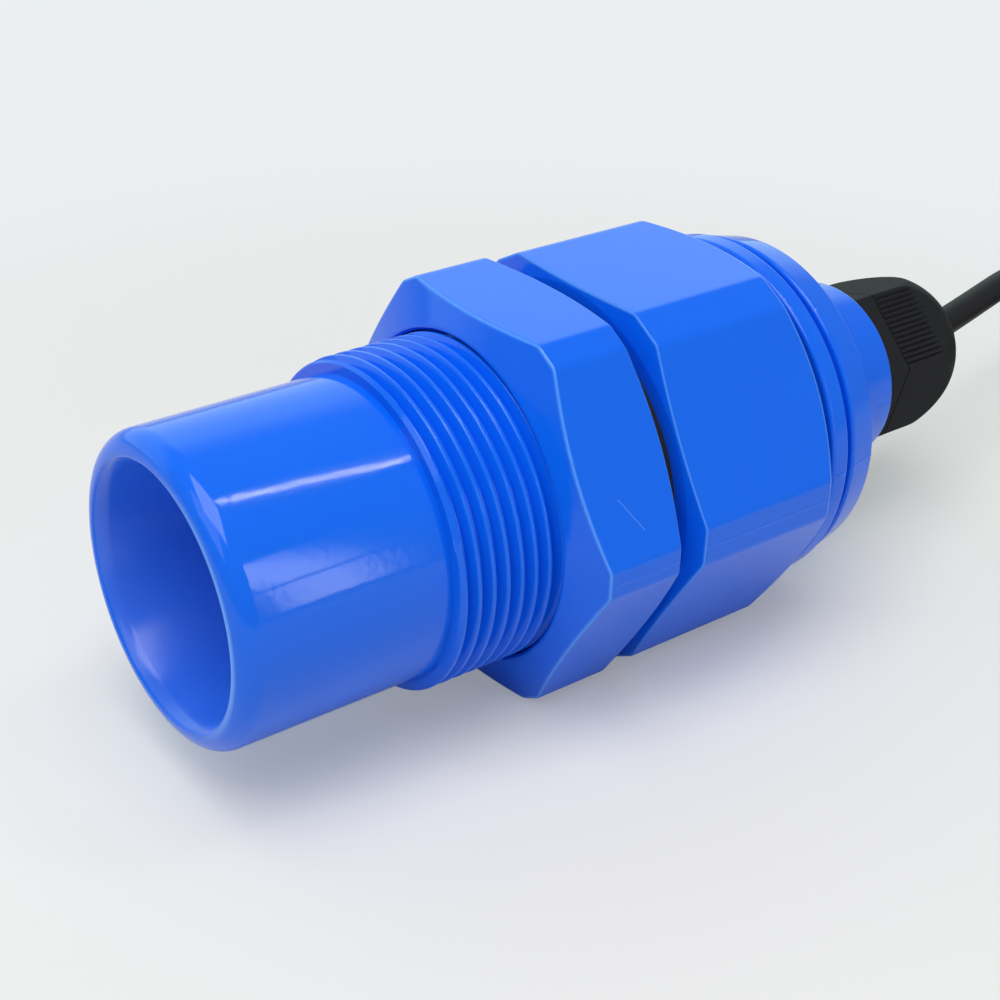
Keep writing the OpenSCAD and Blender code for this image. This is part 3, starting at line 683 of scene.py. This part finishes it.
DOME_AT, DOME_END = span("gland_nut")
GLAND_AF = 23.4
DOME_R = 13.9
DOME_START = 2.0
DOME_TIP_R = 5.4
DOME_HOLE_R = 4.2
DOME_RIM, DOME_LAND = 0.3, 1.7
DOME_CONE_AT = 8.4
DOME_EDGE = 0.25
DOME_STEPS, DOME_RING_COUNT = 44, 1080
SLEEVE_R = 9.7
RIBBED_FACE = 43.2
RIB_COUNT = 14
RIB_PITCH = GLAND_AF * math.tan(math.radians(30)) / (RIB_COUNT + 0.7)
RIB_LEN = 9.4
RIB_FADE = 1.2
RIB_DEPTH = 0.4


def groove_depth(across, along):
    """Depth of the grooves at a place across a face and along it, from the skirt."""
    if abs(across) > RIB_COUNT / 2 * RIB_PITCH:
        return 0
    fade = min(max((RIB_LEN - along) / RIB_FADE, 0), 1)
    return RIB_DEPTH * fade * (0.5 - 0.5 * math.cos(2 * math.pi * across / RIB_PITCH)) ** 1.5


def dome_radius(station, radius, angle):
    """Radius of the dome nut's skin where its hex, its grooves and its dome meet."""
    if radius <= SLEEVE_R and station < DOME_AT + DOME_CONE_AT or radius <= DOME_HOLE_R + DOME_RIM:
        return radius
    from_face = (angle - RIBBED_FACE + 30) % 60 - 30
    flat = GLAND_AF / 2
    if round((angle - RIBBED_FACE) / 60) % 2 == 0:
        flat -= groove_depth(flat * math.tan(math.radians(from_face)), station - DOME_AT)
    return soft_min(radius, flat / math.cos(math.radians(from_face)), DOME_EDGE)


def dome_profile(along):
    """Radius of the turned dome at a distance from the skirt."""
    share = min(max(along - DOME_START, 0) / (DOME_END - DOME_AT - DOME_START), 1)
    return DOME_TIP_R + (DOME_R - DOME_TIP_R) * math.sqrt(1 - share * share)


def make_gland_nut():
    length = DOME_END - DOME_AT
    alongs = [length * math.sin(math.radians(90 * i / DOME_STEPS)) for i in range(DOME_STEPS + 1)]
    skin = [(DOME_AT + along, dome_profile(along)) for along in alongs]
    inside = [(DOME_END, DOME_HOLE_R + DOME_RIM), (DOME_END - DOME_RIM, DOME_HOLE_R),
              (DOME_END - DOME_LAND, DOME_HOLE_R), (DOME_AT + DOME_CONE_AT, SLEEVE_R), (DOME_AT, SLEEVE_R)]
    bm = bmesh.new()
    turned(bm, ring_angles(DOME_RING_COUNT), skin + inside, dome_radius)
    finish_piece("dome_nut", bm, (nylon,), "sensor", "black_nylon", "gland_nut")


make_gland_nut()


# Solids that keep their own shape

FINISHES = {
    "flange_gasket": rubber, "cap_seal_ring": rubber, "damping_sleeve": rubber, "gland_washer": rubber,
    "gland_bush": rubber, "matching_layer": epoxy, "damping_block": epoxy, "piezo_disc": ceramic,
    "retaining_ring": nylon, "gland_body": nylon, "piezo_leads": insulation, "cable_cores": insulation,
    "wire_ends": insulation, "temperature_probe": package, "storage_capacitors": package,
    "processor_chip": package, "main_board": board, "lead_connector": board, "pulse_transformer": copper,
    "cable_entry": jacket, "coil_ties": tie_nylon,
}
for node, finish in FINISHES.items():
    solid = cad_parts[node]
    solid.data.materials.clear()
    solid.data.materials.append(finish)

# Fine edges on the gland body's flange catch the light, as moulding flash does
FLASH_WIDTH = 0.12
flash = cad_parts["gland_body"].modifiers.new("flash", "BEVEL")
flash.width = FLASH_WIDTH * MM
flash.segments = 2
flash.limit_method = "ANGLE"
flash.angle_limit = math.radians(40)


# Floor, backdrop and lights

FLOOR_TONE = "#e5e3e1"
FLOOR_REACH = 4.0
PAPER_TONE = "#ebeff0"
# Paper is bright to the camera, as in an overexposed picture: in part near the sensor, wholly far from it
PAPER_NEAR, PAPER_FAR = 0.08, 0.24
NEAR_SHARE = 0.28


def make_stage():
    bm = bmesh.new()
    bmesh.ops.create_grid(bm, x_segments=1, y_segments=1, size=FLOOR_REACH)
    mesh = bpy.data.meshes.new("floor")
    bm.to_mesh(mesh)
    bm.free()
    floor = bpy.data.objects.new("floor", mesh)
    bpy.context.scene.collection.objects.link(floor)
    material = bpy.data.materials.new("pale_paper")
    material.use_nodes = True
    tree = material.node_tree
    shader = tree.nodes["Principled BSDF"]
    shader.inputs["Base Color"].default_value = linear(FLOOR_TONE)
    shader.inputs["Roughness"].default_value = 0.8
    shader.inputs["Specular IOR Level"].default_value = 0.1
    place = add(tree, "ShaderNodeTexCoord").outputs["Object"]
    reach = add(tree, "ShaderNodeVectorMath", {0: place}, operation="LENGTH")
    far = add(tree, "ShaderNodeMapRange", {"Value": reach.outputs["Value"], "From Min": PAPER_NEAR,
                                           "From Max": PAPER_FAR, "To Min": NEAR_SHARE},
              interpolation_type="SMOOTHSTEP")
    seen = add(tree, "ShaderNodeLightPath").outputs["Is Camera Ray"]
    share = add(tree, "ShaderNodeMath", {0: far.outputs["Result"], 1: seen}, operation="MULTIPLY")
    even = add(tree, "ShaderNodeEmission", {"Color": linear(PAPER_TONE), "Strength": 1.0})
    mixed = add(tree, "ShaderNodeMixShader", {0: share.outputs["Value"], 1: shader.outputs["BSDF"],
                                              2: even.outputs["Emission"]})
    tree.links.new(mixed.outputs["Shader"], tree.nodes["Material Output"].inputs["Surface"])
    mesh.materials.append(material)


def softbox(name, place, target, size, radiance, fade=None):
    """Rectangular light whose surface has this radiance. With a fade, it falls to nothing
    from that share of its width on."""
    data = bpy.data.lights.new(name, "AREA")
    data.shape = "RECTANGLE"
    data.size, data.size_y = size
    data.energy = radiance * math.pi * size[0] * size[1]
    if fade is not None:
        data.use_nodes = True
        tree = data.node_tree
        spot = add(tree, "ShaderNodeNewGeometry").outputs["Parametric"]
        across = add(tree, "ShaderNodeSeparateXYZ", {"Vector": spot})
        glow = add(tree, "ShaderNodeMapRange", {"Value": across.outputs["X"], "From Min": fade,
                                                "From Max": 1.0, "To Min": 1.0, "To Max": 0.0},
                   interpolation_type="SMOOTHSTEP")
        tree.links.new(glow.outputs["Result"], tree.nodes["Emission"].inputs["Strength"])
    light = bpy.data.objects.new(name, data)
    bpy.context.scene.collection.objects.link(light)
    light.location = place
    light.rotation_euler = (Vector(place) - Vector(target)).to_track_quat("Z", "Y").to_euler()
    return light


def toward(origin, azimuth, elevation, distance):
    """Place at a distance from a point, in a direction given in degrees."""
    a, e = math.radians(azimuth), math.radians(elevation)
    way = Vector((math.cos(e) * math.cos(a), math.cos(e) * math.sin(a), math.sin(e)))
    return origin + distance * way


ROOM_TONE, ROOM_TINT = 0.38, "#f7f5f2"
BACKDROP_TONE, BACKDROP_TINT = 1.28, "#dcfbf6"
# The way to the backdrop, and where on the unit sphere it begins at its sides and ends at its top
BACKDROP_WAY = (0.2, 0.98, 0)
BACKDROP_SIDES = (0.42, 0.62)
BACKDROP_TOP = (0.58, 0.76)


def make_world():
    """Dim room with a pale backdrop behind the sensor, low enough to show only in the top flats.
    The camera itself sees even paper."""
    world = bpy.data.worlds.new("studio")
    bpy.context.scene.world = world
    world.use_nodes = True
    tree = world.node_tree
    ahead = add(tree, "ShaderNodeTexCoord").outputs["Generated"]
    behind = add(tree, "ShaderNodeVectorMath", {0: ahead, 1: BACKDROP_WAY}, operation="DOT_PRODUCT")
    side = add(tree, "ShaderNodeMapRange", {"Value": behind.outputs["Value"], "From Min": BACKDROP_SIDES[0],
                                            "From Max": BACKDROP_SIDES[1]})
    height = add(tree, "ShaderNodeSeparateXYZ", {"Vector": ahead})
    low = add(tree, "ShaderNodeMapRange", {"Value": height.outputs["Z"], "From Min": BACKDROP_TOP[0],
                                           "From Max": BACKDROP_TOP[1], "To Min": 1.0, "To Max": 0.0})
    share = add(tree, "ShaderNodeMath", {0: side.outputs["Result"], 1: low.outputs["Result"]},
                operation="MULTIPLY")
    glow = add(tree, "ShaderNodeMapRange", {"Value": share.outputs["Value"], "To Min": ROOM_TONE,
                                            "To Max": BACKDROP_TONE})
    tone = add(tree, "ShaderNodeMixRGB", {"Fac": share.outputs["Value"], "Color1": linear(ROOM_TINT),
                                          "Color2": linear(BACKDROP_TINT)})
    room = add(tree, "ShaderNodeBackground", {"Color": tone.outputs["Color"],
                                              "Strength": glow.outputs["Result"]})
    paper = add(tree, "ShaderNodeBackground", {"Color": linear(PAPER_TONE)})
    seen = add(tree, "ShaderNodeLightPath").outputs["Is Camera Ray"]
    shown = add(tree, "ShaderNodeMixShader", {0: seen, 1: room.outputs["Background"],
                                              2: paper.outputs["Background"]})
    tree.links.new(shown.outputs["Shader"], tree.nodes["World Output"].inputs["Surface"])


# Places and sizes of the lights in metres, aimed at the horn's near side or at the whole sensor
HORN_SIDE = Vector((-0.058, -0.018, 0.036))
WINDOW_DISTANCE, WINDOW_RADIANCE = 0.4, 5.6
# Columns of the window as (azimuth, width, fade), and its rows as (elevation, height)
WINDOW_COLUMNS = ((-62.4, 0.041, 0.3), (-66.0, 0.006, None))
WINDOW_ROWS = ((25, 0.13), (6.5, 0.11))
TUBE_DEG = 42


def make_lights():
    softbox("top_box", place=(-0.19, -0.12, 0.72), target=(-0.02, 0, 0.03), size=(0.52, 0.55), radiance=4.0)
    # Panes of a window that the horn's near side mirrors; the wide ones fade to the right
    for azimuth, width, fade in WINDOW_COLUMNS:
        for elevation, height in WINDOW_ROWS:
            pane_at = toward(HORN_SIDE, azimuth, elevation, WINDOW_DISTANCE)
            softbox("window_pane", pane_at, HORN_SIDE, (width, height), WINDOW_RADIANCE, fade)
    # White card above the mouth that lights the funnel
    softbox("front_card", place=(-0.5, -0.08, 0.42), target=(-0.06, 0, 0.03), size=(0.4, 0.3), radiance=1.3)
    # Narrow tube that draws the thin line along the horn; it hangs level and is turned about the upright
    tube = softbox("tube", place=(0.231, -0.139, 0.6), target=(0.231, -0.139, 0), size=(0.005, 0.2),
                   radiance=70)
    tube.rotation_euler.z = math.radians(TUBE_DEG)


make_stage()
make_world()
make_lights()
bpy.context.scene.view_settings.view_transform = "Standard"
